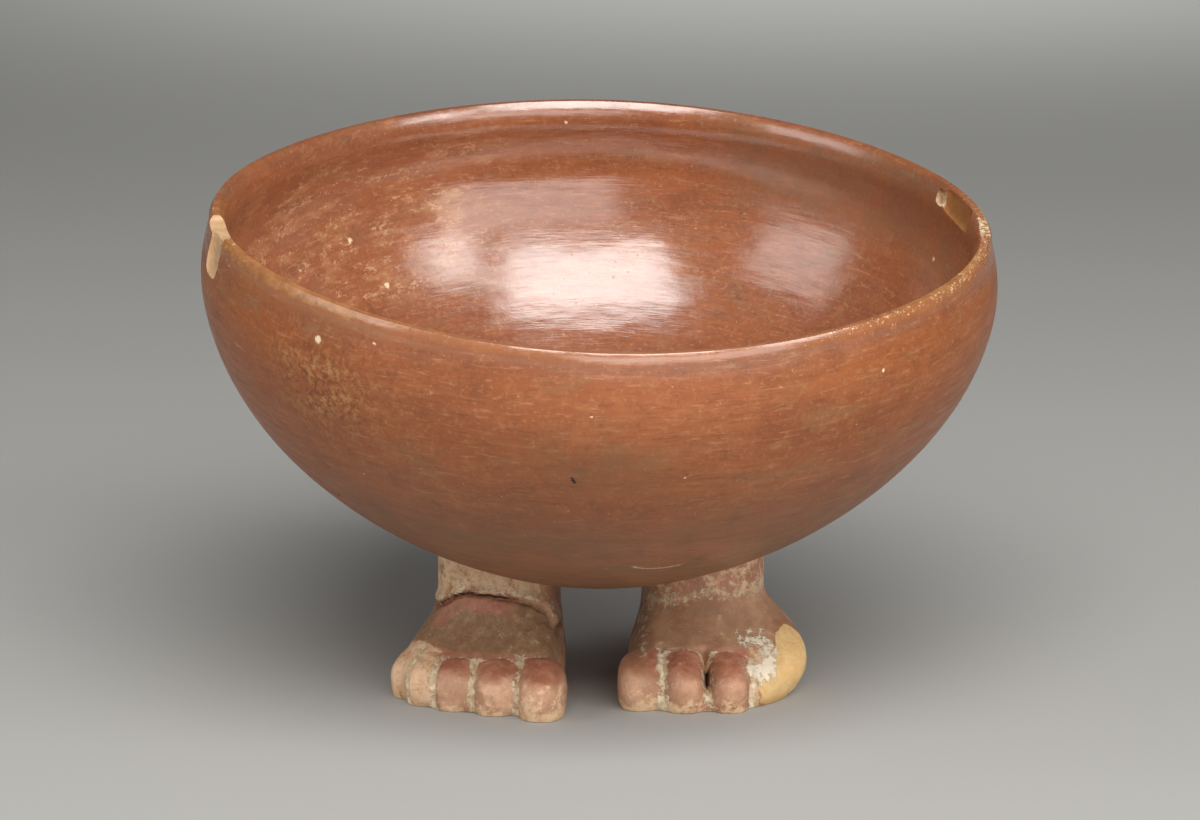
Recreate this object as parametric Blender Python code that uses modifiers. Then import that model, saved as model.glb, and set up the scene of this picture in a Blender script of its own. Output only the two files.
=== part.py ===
"""Footed bowl: a hand-built round bowl of polished red ware, tipped forward on two human feet.

Metres, +Z up. The toes point along -Y and +X is the viewer's right. The origin is on the ground,
under the middle of the bowl's box. The bowl and its feet are one fired piece, so they are one solid.
"""
import math

import bmesh
import bpy
from mathutils import Matrix, Vector

# Driving sizes of the bowl, measured down from its lip along the bowl's own axis. The wall is
# full at LIP_WALL_END of the depth and starts to thicken to the floor at FLOOR_WALL_START
BELLY_RADIUS = 0.0688
LIP_RADIUS = 0.0671
SHOULDER_DEPTH = 0.0112
BODY_DEPTH = 0.0542
LIP_THICKNESS = 0.0032
WALL_THICKNESS = 0.0042
FLOOR_THICKNESS = 0.0056
LIP_WALL_END = 0.33
FLOOR_WALL_START = 0.50
BODY_DEPTH_POWER = 1.80
BODY_RADIUS_POWER = 1.71

# How the bowl sits: tipped towards its toes, leaning a little to the right
FORWARD_TILT = math.radians(8.0)
SIDE_LEAN = math.radians(1.3)
GROUND_CLEARANCE = 0.0200

# Hand-built unevenness: rises of the lip round the bowl, as (waves, cosine part, sine part)
LIP_RISES = ((1, -0.00075, -0.0003), (2, 0.0003, 0.0002), (3, 0.0, -0.0006))
LIP_RISE_REACH = 0.040
OUT_OF_ROUND = 0.004
OUT_OF_ROUND_TURN = math.radians(35.0)

# The feet, set out from the lip's centre: across, back, and turned outwards
ANKLE_SPREAD = 0.0362
ANKLE_SETBACK = 0.0090
LEFT_FOOT_FORWARD = 0.0015
LEFT_FOOT_TURN = math.radians(7.0)
RIGHT_FOOT_TURN = math.radians(3.5)

# One leg above its foot, as half sizes
ANKLE_INNER = 0.0109
ANKLE_OUTER = 0.0108
ANKLE_FRONT = 0.0112
ANKLE_BACK = 0.0114
ANKLE_HEIGHT = 0.0180
LEG_WIDENING = 1.03

# Level outlines of a foot from the sole up to the ankle: height, inner half, outer half, front,
# place of the widest part, and back, all measured from the ankle's middle
LEFT_FOOT_LEVELS = (
    (0.0000, 0.0118, 0.0138, 0.0238, 0.0120, 0.0112),
    (0.0012, 0.0124, 0.0148, 0.0250, 0.0122, 0.0119),
    (0.0040, 0.0128, 0.0154, 0.0249, 0.0124, 0.0123),
    (0.0064, 0.0127, 0.0152, 0.0234, 0.0122, 0.0121),
    (0.0084, 0.0124, 0.0142, 0.0194, 0.0110, 0.0117),
    (0.0104, 0.0119, 0.0126, 0.0160, 0.0085, 0.0114),
    (0.0130, 0.0113, 0.0112, 0.0134, 0.0045, 0.0113),
    (0.0156, 0.0109, 0.0107, 0.0118, 0.0015, 0.0113),
)
RIGHT_FOOT_LEVELS = (
    (0.0000, 0.0128, 0.0144, 0.0240, 0.0110, 0.0112),
    (0.0012, 0.0136, 0.0158, 0.0250, 0.0112, 0.0119),
    (0.0042, 0.0140, 0.0173, 0.0248, 0.0114, 0.0123),
    (0.0066, 0.0137, 0.0174, 0.0228, 0.0110, 0.0121),
    (0.0086, 0.0130, 0.0168, 0.0190, 0.0098, 0.0117),
    (0.0106, 0.0121, 0.0152, 0.0159, 0.0075, 0.0114),
    (0.0130, 0.0113, 0.0127, 0.0134, 0.0045, 0.0113),
    (0.0156, 0.0109, 0.0109, 0.0119, 0.0015, 0.0113),
)
TOE_TOP_LEVEL = 4
SOLE_SINK = 0.0020

# How far the toes' line runs back towards the little toe, for each length across
LEFT_TOE_SLANT = 0.30
RIGHT_TOE_SLANT = 0.04

# Corners of an outline: lower is squarer, 1 is an ellipse's. The right foot is round at its outer
# front, where its two outer toes are lost
ANKLE_CORNER = 0.80
TOE_CORNER = 0.52
LEFT_OUTER_CORNER = 0.56
RIGHT_OUTER_CORNER = 0.96

# Toes from the big toe outwards: place across, reach of the tip, width, length, height, and turn
LEFT_TOES = (
    (0.0106, 0.0288, 0.0086, 0.0136, 0.0086, -2.0),
    (0.0023, 0.0266, 0.0077, 0.0124, 0.0084, 0.0),
    (-0.0052, 0.0248, 0.0073, 0.0120, 0.0082, 3.0),
    (-0.0108, 0.0222, 0.0058, 0.0108, 0.0080, 10.0),
    (-0.0138, 0.0186, 0.0050, 0.0100, 0.0078, 20.0),
)
RIGHT_TOES = (
    (0.0126, 0.0246, 0.0078, 0.0122, 0.0084, -3.0),
    (0.0051, 0.0264, 0.0075, 0.0126, 0.0084, 0.0),
    (-0.0028, 0.0268, 0.0073, 0.0130, 0.0084, 2.0),
)
TOE_SLOPE = math.radians(14.0)
TOE_SQUARENESS = 0.62

CHIP_SQUARENESS = 0.90

# Chips out of the lip: angle round the bowl from +X, offset outwards from the lip's middle,
# depth below the lip, and size along the lip, across it and downwards
CHIPS = {
    "left_lip_chip": (math.radians(194.0), 0.0008, 0.0002, (0.0120, 0.0060, 0.0022)),
    "left_wall_flake": (math.radians(196.0), 0.0031, 0.0034, (0.0064, 0.0030, 0.0092)),
    "right_inner_notch": (math.radians(21.0), -0.0016, 0.0008, (0.0036, 0.0028, 0.0036)),
    "right_inner_facet": (math.radians(14.0), -0.0022, 0.0028, (0.0190, 0.0026, 0.0066)),
    "right_lip_chip": (math.radians(-1.0), 0.0004, 0.0000, (0.0110, 0.0024, 0.0014)),
}

# Fineness of the solids
TURN_STEPS = 64
BODY_POINTS = 14
SHOULDER_POINTS = 3
LIP_ARC_POINTS = 5
RING_POINTS = 32
LEVEL_STEPS = 2
SPHERE_SEGMENTS = 16
SPHERE_RINGS = 10
WELD = 0.00001

CLAY_COLOUR = (0.36, 0.105, 0.045, 1.0)
CLAY_ROUGHNESS = 0.38
SHARP_ANGLE = math.radians(40.0)


def clear_scene():
    for old in list(bpy.data.objects):
        bpy.data.objects.remove(old)


def collection(name):
    made = bpy.data.collections.new(name)
    bpy.context.scene.collection.children.link(made)
    return made


def add_object(name, mesh, home):
    made = bpy.data.objects.new(name, mesh)
    home.objects.link(made)
    return made


def make_guide(made):
    """A cutter or a joined shape: it helps to make the bowl and isn't a piece itself."""
    made.hide_render = True
    made.display_type = "WIRE"
    return made


def smooth_step(value):
    t = max(0.0, min(1.0, value))
    return t * t * (3.0 - 2.0 * t)


def outer_wall():
    """The outer side as (radius, height below the lip) points, from under the lip to the bottom's middle."""
    start = LIP_THICKNESS / 2
    points = []
    for i in range(SHOULDER_POINTS):
        t = i / SHOULDER_POINTS
        radius = LIP_RADIUS + (BELLY_RADIUS - LIP_RADIUS) * math.sin(t * math.pi / 2)
        points.append((radius, -(start + (SHOULDER_DEPTH - start) * t)))
    for i in range(BODY_POINTS + 1):
        share = math.sin(math.pi / 2 * i / BODY_POINTS)
        base = max(0.0, 1.0 - share**BODY_DEPTH_POWER)
        radius = BELLY_RADIUS * base ** (1.0 / BODY_RADIUS_POWER)
        points.append((radius, -(SHOULDER_DEPTH + BODY_DEPTH * share)))
    return points


def wall_offset(share):
    """The outer side moved inwards by a share of the wall, which thickens from the lip to the floor."""
    points = outer_wall()
    deepest = SHOULDER_DEPTH + BODY_DEPTH
    moved = []
    for i, (radius, height) in enumerate(points):
        before = points[max(0, i - 1)]
        after = points[min(len(points) - 1, i + 1)]
        run = Vector((after[0] - before[0], after[1] - before[1])).normalized()
        down = -height / deepest
        wall = LIP_THICKNESS + (WALL_THICKNESS - LIP_THICKNESS) * smooth_step(down / LIP_WALL_END)
        to_floor = (down - FLOOR_WALL_START) / (1.0 - FLOOR_WALL_START)
        wall += (FLOOR_THICKNESS - WALL_THICKNESS) * smooth_step(to_floor)
        if i == len(points) - 1:
            run = Vector((-1.0, 0.0))
        inwards = Vector((run.y, -run.x))
        place = Vector((radius, height)) + inwards * wall * share
        moved.append((max(0.0, place.x), place.y))
    return moved


def lip_arc():
    """The rounded lip, from its inner side over the top to its outer side."""
    radius = LIP_THICKNESS / 2
    centre = LIP_RADIUS - radius
    points = []
    for i in range(1, LIP_ARC_POINTS + 1):
        angle = math.pi * (1.0 - i / (LIP_ARC_POINTS + 1))
        points.append((centre + radius * math.cos(angle), radius * (math.sin(angle) - 1.0)))
    return points


def turned(name, profile, home):
    """A closed shape turned round Z from (radius, height) points that run down its outer side."""
    mesh = bpy.data.meshes.new(name)
    verts = [(radius, 0.0, height) for radius, height in profile]
    edges = [(i, i + 1) for i in range(len(verts) - 1)]
    mesh.from_pydata(verts, edges, [])
    made = add_object(name, mesh, home)
    turn = made.modifiers.new("turn", "SCREW")
    turn.steps = TURN_STEPS
    turn.render_steps = TURN_STEPS
    turn.use_merge_vertices = True
    turn.merge_threshold = WELD
    return made


def hand_shaped(point):
    """Moves a point of the turned bowl to where the hand-built one has it."""
    angle = math.atan2(point.y, point.x)
    rise = 0.0
    for waves, cosine, sine in LIP_RISES:
        rise += cosine * math.cos(waves * angle) + sine * math.sin(waves * angle)
    near_lip = 1.0 - smooth_step(-point.z / LIP_RISE_REACH)
    stretch = 1.0 + OUT_OF_ROUND * math.cos(2.0 * (angle - OUT_OF_ROUND_TURN))
    return Vector((point.x * stretch, point.y * stretch, point.z + rise * near_lip))


def bowl_turn():
    return Matrix.Rotation(FORWARD_TILT, 4, "X") @ Matrix.Rotation(SIDE_LEAN, 4, "Y")


def freeze(made, move=None):
    """Swaps an object for a plain mesh of what its modifiers show, with each point moved by a function."""
    graph = bpy.context.evaluated_depsgraph_get()
    mesh = bpy.data.meshes.new_from_object(made.evaluated_get(graph))
    work = bmesh.new()
    work.from_mesh(mesh)
    work.transform(made.matrix_world)
    bmesh.ops.remove_doubles(work, verts=work.verts, dist=WELD)
    if move:
        for vert in work.verts:
            vert.co = move(vert.co)
    bmesh.ops.recalc_face_normals(work, faces=work.faces)
    work.to_mesh(mesh)
    work.free()
    name = made.name
    home = made.users_collection[0]
    bpy.data.objects.remove(made)
    return add_object(name, mesh, home)


def loft(name, rings, home):
    """A closed shape through rings that have as many points each, with flat ends."""
    work = bmesh.new()
    rows = [[work.verts.new(point) for point in ring] for ring in rings]
    count = len(rows[0])
    for lower, upper in zip(rows, rows[1:]):
        for i in range(count):
            j = (i + 1) % count
            work.faces.new((lower[i], lower[j], upper[j], upper[i]))
    work.faces.new(rows[0])
    work.faces.new(rows[-1])
    bmesh.ops.recalc_face_normals(work, faces=work.faces)
    mesh = bpy.data.meshes.new(name)
    work.to_mesh(mesh)
    work.free()
    return add_object(name, mesh, home)


def rounded(angle, power):
    """A point on a unit superellipse. A power under 1 is squarer than a circle."""
    c, s = math.cos(angle), math.sin(angle)
    return math.copysign(abs(c) ** power, c), math.copysign(abs(s) ** power, s)


def outline(level, inner, outer, front, widest, back, corners, slant):
    """A level ring round a leg or foot. Its corners are the inner front, outer front and back ones."""
    ring = []
    for i in range(RING_POINTS):
        angle = 2.0 * math.pi * (i + 0.5) / RING_POINTS
        at_front = math.sin(angle) < 0
        corner = (corners[0] if math.cos(angle) > 0 else corners[1]) if at_front else corners[2]
        x, y = rounded(angle, corner)
        x *= inner if x > 0 else outer
        y *= (front - widest) if at_front else (back + widest)
        ring.append((x, y - widest - slant * x * max(0.0, -y) / front, level))
    return ring


def filled_in(rows):
    """Adds rows between the given ones along a smooth curve through them."""
    filled = []
    for i, (start, end) in enumerate(zip(rows, rows[1:])):
        before = rows[max(0, i - 1)]
        after = rows[min(len(rows) - 1, i + 2)]
        for step in range(LEVEL_STEPS):
            t = step / LEVEL_STEPS
            filled.append(tuple(
                0.5 * (2 * b + (c - a) * t + (2 * a - 5 * b + 4 * c - d) * t**2 + (3 * b - a - 3 * c + d) * t**3)
                for a, b, c, d in zip(before, start, end, after)
            ))
    return filled + [rows[-1]]


def foot_rings(levels, outer_corner, slant, top):
    """Level rings of a foot and its leg, from below the ground up into the bowl's wall."""
    rings = []
    sole = (-SOLE_SINK,) + levels[0][1:]
    ankle = (ANKLE_HEIGHT, ANKLE_INNER, ANKLE_OUTER, ANKLE_FRONT, 0.0, ANKLE_BACK)
    toe_top = levels[TOE_TOP_LEVEL][0]
    for row in [sole] + filled_in(levels + (ankle,)):
        to_ankle = smooth_step((row[0] - toe_top) / (ANKLE_HEIGHT - toe_top))
        corners = [low + (ANKLE_CORNER - low) * to_ankle for low in (TOE_CORNER, outer_corner, ANKLE_CORNER)]
        rings.append(outline(*row, corners, slant * (1.0 - to_ankle)))
    rings.append(outline(top, *[size * LEG_WIDENING for size in ankle[1:]], [ANKLE_CORNER] * 3, 0.0))
    return rings


def soft_block(name, size, matrix, home, squareness):
    """A rounded block: a sphere whose points are pushed out towards a box of this size."""
    work = bmesh.new()
    bmesh.ops.create_uvsphere(work, u_segments=SPHERE_SEGMENTS, v_segments=SPHERE_RINGS, radius=1.0)
    for vert in work.verts:
        vert.co = Vector(
            math.copysign(abs(part) ** squareness, part) * full / 2 for part, full in zip(vert.co, size)
        )
    work.transform(matrix)
    mesh = bpy.data.meshes.new(name)
    work.to_mesh(mesh)
    work.free()
    return add_object(name, mesh, home)


def toe(name, across, reach, width, length, height, turn, home):
    """A toe that slopes down to its tip, sunk a little below the ground so that it is cut off flat."""
    matrix = Matrix.Translation((across, -(reach - length / 2), height / 2 - SOLE_SINK / 2))
    matrix = matrix @ Matrix.Rotation(math.radians(-turn), 4, "Z") @ Matrix.Rotation(TOE_SLOPE, 4, "X")
    return soft_block(name, (width, length, height + SOLE_SINK), matrix, home, TOE_SQUARENESS)


def join(base, others, operation="UNION"):
    for other in others:
        step = base.modifiers.new(f"{operation.lower()}_{other.name}", "BOOLEAN")
        step.operation = operation
        step.object = other
        step.solver = "EXACT"
    return base


def foot(name, levels, outer_corner, slant, toes, top, home):
    """A foot in its own frame: big toe towards +X, toes towards -Y, and its leg up to a height."""
    body = loft(f"{name}_leg", foot_rings(levels, outer_corner, slant, top), home)
    return body, [toe(f"{name}_toe_{i + 1}", *sizes, home) for i, sizes in enumerate(toes)]


def ground_slab(home):
    """Cuts the soles flat: a slab under the ground, wider than the bowl and deeper than any toe goes."""
    work = bmesh.new()
    wide, thick = 4.0 * BELLY_RADIUS, 8.0 * SOLE_SINK
    matrix = Matrix.Translation((0.0, 0.0, -thick / 2)) @ Matrix.Diagonal((wide, wide, thick, 1.0))
    bmesh.ops.create_cube(work, size=1.0, matrix=matrix)
    mesh = bpy.data.meshes.new("ground_slab")
    work.to_mesh(mesh)
    work.free()
    return make_guide(add_object("ground_slab", mesh, home))


def chip_cutter(name, angle, offset, depth, size, place, home):
    """A rounded cutter on the lip. Its first side lies along the lip, its second across it."""
    middle = LIP_RADIUS - LIP_THICKNESS / 2
    spot = hand_shaped(Vector((middle * math.cos(angle), middle * math.sin(angle), 0.0)))
    spot.z -= depth
    spot += Vector((math.cos(angle), math.sin(angle), 0.0)) * offset
    matrix = place @ Matrix.Translation(spot) @ Matrix.Rotation(angle + math.pi / 2, 4, "Z")
    return make_guide(soft_block(name, size, matrix, home, CHIP_SQUARENESS))


def clay(name):
    material = bpy.data.materials.new(name)
    material.use_nodes = True
    shader = material.node_tree.nodes["Principled BSDF"]
    shader.inputs["Base Color"].default_value = CLAY_COLOUR
    shader.inputs["Roughness"].default_value = CLAY_ROUGHNESS
    return material


def lowest(made):
    return min(vert.co.z for vert in made.data.vertices)


def main():
    clear_scene()
    piece_home = collection("Footed bowl")
    guide_home = collection("Cutters and joined shapes")

    inner = list(reversed(wall_offset(1.0)))
    shell = turned("footed_bowl", inner + lip_arc() + outer_wall(), piece_home)
    shell = freeze(shell, hand_shaped)
    middle_wall = wall_offset(0.5)
    core = turned("middle_of_wall", [(0.0, middle_wall[0][1])] + middle_wall, guide_home)
    core = freeze(core, hand_shaped)

    lean = bowl_turn()
    shell.data.transform(lean)
    lift = GROUND_CLEARANCE - lowest(shell)
    place = Matrix.Translation((0.0, 0.0, lift)) @ lean
    shell.data.transform(Matrix.Translation((0.0, 0.0, lift)))
    core.data.transform(place)
    make_guide(core)

    slab = ground_slab(guide_home)
    feet = []
    left = (LEFT_FOOT_LEVELS, LEFT_OUTER_CORNER, LEFT_TOE_SLANT, LEFT_TOES)
    right = (RIGHT_FOOT_LEVELS, RIGHT_OUTER_CORNER, RIGHT_TOE_SLANT, RIGHT_TOES)
    sides = (
        ("left_foot", left, -1.0, LEFT_FOOT_TURN, LEFT_FOOT_FORWARD),
        ("right_foot", right, 1.0, RIGHT_FOOT_TURN, 0.0),
    )
    for name, shape, side, turn, forward in sides:
        body, pieces = foot(name, *shape, lift - SHOULDER_DEPTH, guide_home)
        stand = Matrix.Translation((side * ANKLE_SPREAD / 2, ANKLE_SETBACK - forward, 0.0))
        stand = stand @ Matrix.Rotation(side * turn, 4, "Z") @ Matrix.Diagonal((-side, 1.0, 1.0, 1.0))
        for piece in [body] + pieces:
            piece.data.transform(stand)
            if side > 0:
                piece.data.flip_normals()
            make_guide(piece)
        join(body, pieces)
        join(body, [core, slab], "DIFFERENCE")
        feet.append(body)

    chips = [chip_cutter(name, *sizes, place, guide_home) for name, sizes in CHIPS.items()]
    join(shell, feet)
    join(shell, chips, "DIFFERENCE")
    bpy.context.view_layer.update()

    finished = freeze(shell)
    low = [min(vert.co[axis] for vert in finished.data.vertices) for axis in range(3)]
    high = [max(vert.co[axis] for vert in finished.data.vertices) for axis in range(3)]
    finished.data.transform(Matrix.Translation((-(low[0] + high[0]) / 2, -(low[1] + high[1]) / 2, -low[2])))
    finished.data.shade_smooth()
    finished.data.set_sharp_from_angle(angle=SHARP_ANGLE)
    finished.data.materials.append(clay("polished_red_clay"))


main()
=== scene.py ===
"""The footed bowl as it looks: a red ware bowl on two human feet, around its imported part.

Metres, +Z up, in the part's own frame. The bowl is turned again from the part's sizes on a fine
grid, and the feet are built again and remeshed finely, so that grooves, cracks and chips are shape.
"""
import math

import bmesh
import bpy
import numpy as np
from mathutils import Matrix, Vector


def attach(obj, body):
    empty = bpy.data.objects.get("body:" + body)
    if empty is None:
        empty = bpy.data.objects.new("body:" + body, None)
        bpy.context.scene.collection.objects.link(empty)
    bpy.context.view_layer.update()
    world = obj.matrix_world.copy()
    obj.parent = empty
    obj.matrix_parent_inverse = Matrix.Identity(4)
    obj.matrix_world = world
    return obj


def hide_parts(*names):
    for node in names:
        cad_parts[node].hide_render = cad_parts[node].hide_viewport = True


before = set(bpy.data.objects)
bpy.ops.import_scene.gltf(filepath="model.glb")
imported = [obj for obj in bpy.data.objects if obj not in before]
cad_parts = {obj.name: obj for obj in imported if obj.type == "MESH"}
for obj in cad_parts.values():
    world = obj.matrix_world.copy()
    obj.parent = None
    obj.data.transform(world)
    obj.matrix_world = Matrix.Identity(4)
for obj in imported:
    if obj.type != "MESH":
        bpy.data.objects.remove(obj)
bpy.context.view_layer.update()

# Sizes of the part, repeated from its source
BELLY_RADIUS = 0.0688
LIP_RADIUS = 0.0671
SHOULDER_DEPTH = 0.0112
BODY_DEPTH = 0.0542
LIP_THICKNESS = 0.0032
WALL_THICKNESS = 0.0042
FLOOR_THICKNESS = 0.0056
LIP_WALL_END = 0.33
FLOOR_WALL_START = 0.50
BODY_DEPTH_POWER = 1.80
BODY_RADIUS_POWER = 1.71
FORWARD_TILT = math.radians(8.0)
SIDE_LEAN = math.radians(1.3)
GROUND_CLEARANCE = 0.0200
LIP_RISES = ((1, -0.00075, -0.0003), (2, 0.0003, 0.0002), (3, 0.0, -0.0006))
LIP_RISE_REACH = 0.040
OUT_OF_ROUND = 0.004
OUT_OF_ROUND_TURN = math.radians(35.0)
ANKLE_SPREAD = 0.0362
ANKLE_SETBACK = 0.0090
LEFT_FOOT_FORWARD = 0.0015
LEFT_FOOT_TURN = math.radians(7.0)
RIGHT_FOOT_TURN = math.radians(3.5)
ANKLE_INNER = 0.0109
ANKLE_OUTER = 0.0108
ANKLE_FRONT = 0.0112
ANKLE_BACK = 0.0114
ANKLE_HEIGHT = 0.0180
LEG_WIDENING = 1.03
LEFT_FOOT_LEVELS = (
    (0.0000, 0.0118, 0.0138, 0.0238, 0.0120, 0.0112),
    (0.0012, 0.0124, 0.0148, 0.0250, 0.0122, 0.0119),
    (0.0040, 0.0128, 0.0154, 0.0249, 0.0124, 0.0123),
    (0.0064, 0.0127, 0.0152, 0.0234, 0.0122, 0.0121),
    (0.0084, 0.0124, 0.0142, 0.0194, 0.0110, 0.0117),
    (0.0104, 0.0119, 0.0126, 0.0160, 0.0085, 0.0114),
    (0.0130, 0.0113, 0.0112, 0.0134, 0.0045, 0.0113),
    (0.0156, 0.0109, 0.0107, 0.0118, 0.0015, 0.0113),
)
RIGHT_FOOT_LEVELS = (
    (0.0000, 0.0128, 0.0144, 0.0240, 0.0110, 0.0112),
    (0.0012, 0.0136, 0.0158, 0.0250, 0.0112, 0.0119),
    (0.0042, 0.0140, 0.0173, 0.0248, 0.0114, 0.0123),
    (0.0066, 0.0137, 0.0174, 0.0228, 0.0110, 0.0121),
    (0.0086, 0.0130, 0.0168, 0.0190, 0.0098, 0.0117),
    (0.0106, 0.0121, 0.0152, 0.0159, 0.0075, 0.0114),
    (0.0130, 0.0113, 0.0127, 0.0134, 0.0045, 0.0113),
    (0.0156, 0.0109, 0.0109, 0.0119, 0.0015, 0.0113),
)
TOE_TOP_LEVEL = 4
SOLE_SINK = 0.0020
LEFT_TOE_SLANT = 0.30
RIGHT_TOE_SLANT = 0.04
ANKLE_CORNER = 0.80
TOE_CORNER = 0.52
LEFT_OUTER_CORNER = 0.56
RIGHT_OUTER_CORNER = 0.96
LEFT_TOES = (
    (0.0106, 0.0288, 0.0086, 0.0136, 0.0086, -2.0),
    (0.0023, 0.0266, 0.0077, 0.0124, 0.0084, 0.0),
    (-0.0052, 0.0248, 0.0073, 0.0120, 0.0082, 3.0),
    (-0.0108, 0.0222, 0.0058, 0.0108, 0.0080, 10.0),
    (-0.0138, 0.0186, 0.0050, 0.0100, 0.0078, 20.0),
)
RIGHT_TOES = (
    (0.0126, 0.0246, 0.0078, 0.0122, 0.0084, -3.0),
    (0.0051, 0.0264, 0.0075, 0.0126, 0.0084, 0.0),
    (-0.0028, 0.0268, 0.0073, 0.0130, 0.0084, 2.0),
)
TOE_SLOPE = math.radians(14.0)
TOE_SQUARENESS = 0.74
CHIP_SQUARENESS = 0.50
# Chips: angle round the lip, how far out and how deep the middle is, size and lean; in degrees
CHIPS = {
    "left_lip_chip": (193.5, 0.0, -0.0002, (0.0128, 0.0090, 0.0036), 0.0),
    "left_wall_flake": (196.3, 0.0025, 0.0028, (0.0084, 0.0032, 0.0098), -13.0),
    "right_inner_notch": (20.3, -0.0018, 0.0024, (0.0026, 0.0026, 0.0030), 0.0),
    "right_inner_facet": (12.8, -0.0020, 0.0020, (0.0150, 0.0030, 0.0050), 9.0),
    "right_lip_chip": (-1.0, 0.0004, 0.0000, (0.0110, 0.0030, 0.0012), 0.0),
}

# The lip's section, softer on the inside than the part's plain round and swelling a little there
LIP_CREST_SETBACK = 0.0013
LIP_OUTER_ROUND = 0.0016
LIP_INNER_ROUND = 0.0044
LIP_SWELL = 0.0006
LIP_SWELL_REACH = 0.0165

# Fine relief: heights and sizes of the unevenness of the wall, the feet and the broken places
WALL_UNEVENNESS = 0.00012
WALL_UNEVENNESS_SIZE = 0.022
WALL_SINK = 0.00013
FOOT_UNEVENNESS = ((0.00010, 0.0034, 0), (0.00005, 0.0010, 3))
BREAK_UNEVENNESS = 0.00022
BREAK_GRAIN = 0.0016
SLIP_RELIEF = 0.00011
BREAK_RELIEF = 0.00016
FLOOR_RELIEF = 0.00002
SHARP_EDGE = math.radians(40.0)

# Fineness of the shown meshes
BOWL_COLUMNS = 288
BOWL_ROWS = 170
CORE_COLUMNS = 96
WALL_SAMPLES = 60
RING_POINTS = 64
LEVEL_STEPS = 4
TOE_SEGMENTS = 32
TOE_RINGS = 20
CHIP_SEGMENTS = 48
CHIP_RINGS = 32
FOOT_VOXEL = 0.00045
FOOT_SMOOTHING = 7
WELD = 0.00001
SEED = 7

# Single marks: angle in degrees, depth below the lip, whether it is inside, and size
WHITE_SPOTS = (
    (-131.7, 0.0063, False, 0.00060), (137.2, 0.0208, True, 0.00050), (132.4, 0.0296, True, 0.00052),
    (137.0, 0.0015, True, 0.00035), (-122.0, 0.0040, False, 0.00026), (151.0, 0.0224, True, 0.00030),
    (96.0, 0.0040, True, 0.00035), (81.0, 0.0016, True, 0.00040), (-77.9, 0.0219, False, 0.00020),
    (-91.1, 0.0102, False, 0.00019), (-48.0, 0.0085, False, 0.00030), (22.0, 0.0150, True, 0.00040),
)
DARK_DOTS = (
    (-93.65, 0.0221, 0.00026), (-93.5, 0.0225, 0.00032), (-93.3, 0.0229, 0.00030), (-140.2, 0.0388, 0.00045),
)
SCRATCH = ((-83.6, 0.0444), (-78.0, 0.0460), (-73.1, 0.0453))

# Which points are a foot's, in its own frame and the bowl's; the cone is in radians
FOOT_HALF_WIDTH = 0.021
FOOT_PAST_MIDDLE = 0.004
FOOT_CONE = 1.2
FOOT_ABOVE_CLEARANCE = 0.006
FOOT_RADIUS = 0.05
FOOT_OFF_WALL = 0.0003
UNDER_HOLLOW = 0.02
BURNISH_MIDDLE = 0.030

# Floor, light and camera
FLOOR_HALF = 4.0
FLOOR_SINK = 0.0001
FLOOR_COLOUR = (0.42, 0.42, 0.405)
LIGHT_COLOUR = (1.0, 0.985, 0.965)
LIGHT_AIM = Vector((0.0, 0.0, 0.06))
# Lights: degrees to the right and above level, distance, width and height, and radiance
LIGHTS = (
    ("main_light", 7.0, 50.5, 1.0, (0.86, 0.62), 6.8),
    ("main_light_core", 10.0, 51.5, 0.97, (0.54, 0.36), 0.6),
    ("right_light", 57.0, 33.0, 1.0, (0.33, 0.38), 5.2),
    ("left_light", -70.0, 26.0, 1.0, (0.56, 0.48), 2.3),
    ("low_fill", 24.0, 14.0, 1.1, (1.20, 0.40), 2.25),
)
BACKDROP_POWER = 29.0
BACKDROP_SPREAD = math.radians(75.0)
BACKDROP_SOFTNESS = 0.20
BACKDROP_PLACE = (0.10, 0.95, 0.90)
BACKDROP_TILT = math.radians(14.0)
ROOM_LIGHT = 0.10
CAMERA_TARGET = Vector((0.0, 0.00354, 0.04885))
CAMERA_DISTANCE = 0.70
CAMERA_PITCH = math.radians(13.6)
CAMERA_LENS = 119.5
CAMERA_SENSOR = 36.0
CAMERA_NEAR = 0.01


# Helpers for points

def ease(value, low=0.0, high=1.0):
    """0 up to low, 1 from high on, and a soft rise between them."""
    t = np.clip((value - low) / (high - low), 0.0, 1.0)
    return t * t * (3.0 - 2.0 * t)


def fade(value, low=0.0, high=1.0):
    """1 up to low, 0 from high on."""
    return 1.0 - ease(value, low, high)


def window(value, low, high, soft):
    """1 between low and high, falling to 0 over soft on both sides."""
    return ease(value, low - soft, low) * fade(value, high, high + soft)


def bell(value, width):
    """1 at 0, falling off over a width on both sides."""
    return np.exp(-(value / width) ** 2)


def lattice(cells, seed):
    """A repeatable number from 0 to 1 for each whole-number cell."""
    seed = int(seed)
    mixed = cells[:, 0] * 73856093 ^ cells[:, 1] * 19349663 ^ cells[:, 2] * 83492791 ^ seed * 2654435761
    mixed = (mixed ^ (mixed >> 13)) * 1274126177 & 0xFFFFFFFF
    return ((mixed ^ (mixed >> 16)) & 0xFFFFFF) / float(0xFFFFFF)


def rough(points, size, seed, octaves=3):
    """Smooth noise from -1 to 1 at points, with bumps of a given size."""
    total = np.zeros(len(points))
    weight = 1.0
    sum_weights = 0.0
    for octave in range(octaves):
        scaled = points / size * 2**octave + 17.3 * octave
        cell = np.floor(scaled).astype(np.int64)
        t = scaled - cell
        t = t * t * (3.0 - 2.0 * t)
        value = np.zeros(len(points))
        for corner in range(8):
            step = np.array([corner & 1, corner >> 1 & 1, corner >> 2 & 1])
            share = np.prod(np.where(step, t, 1.0 - t), axis=1)
            value += share * lattice(cell + step, seed + octave)
        total += weight * (2.0 * value - 1.0)
        sum_weights += weight
        weight *= 0.5
    return total / sum_weights


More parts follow.
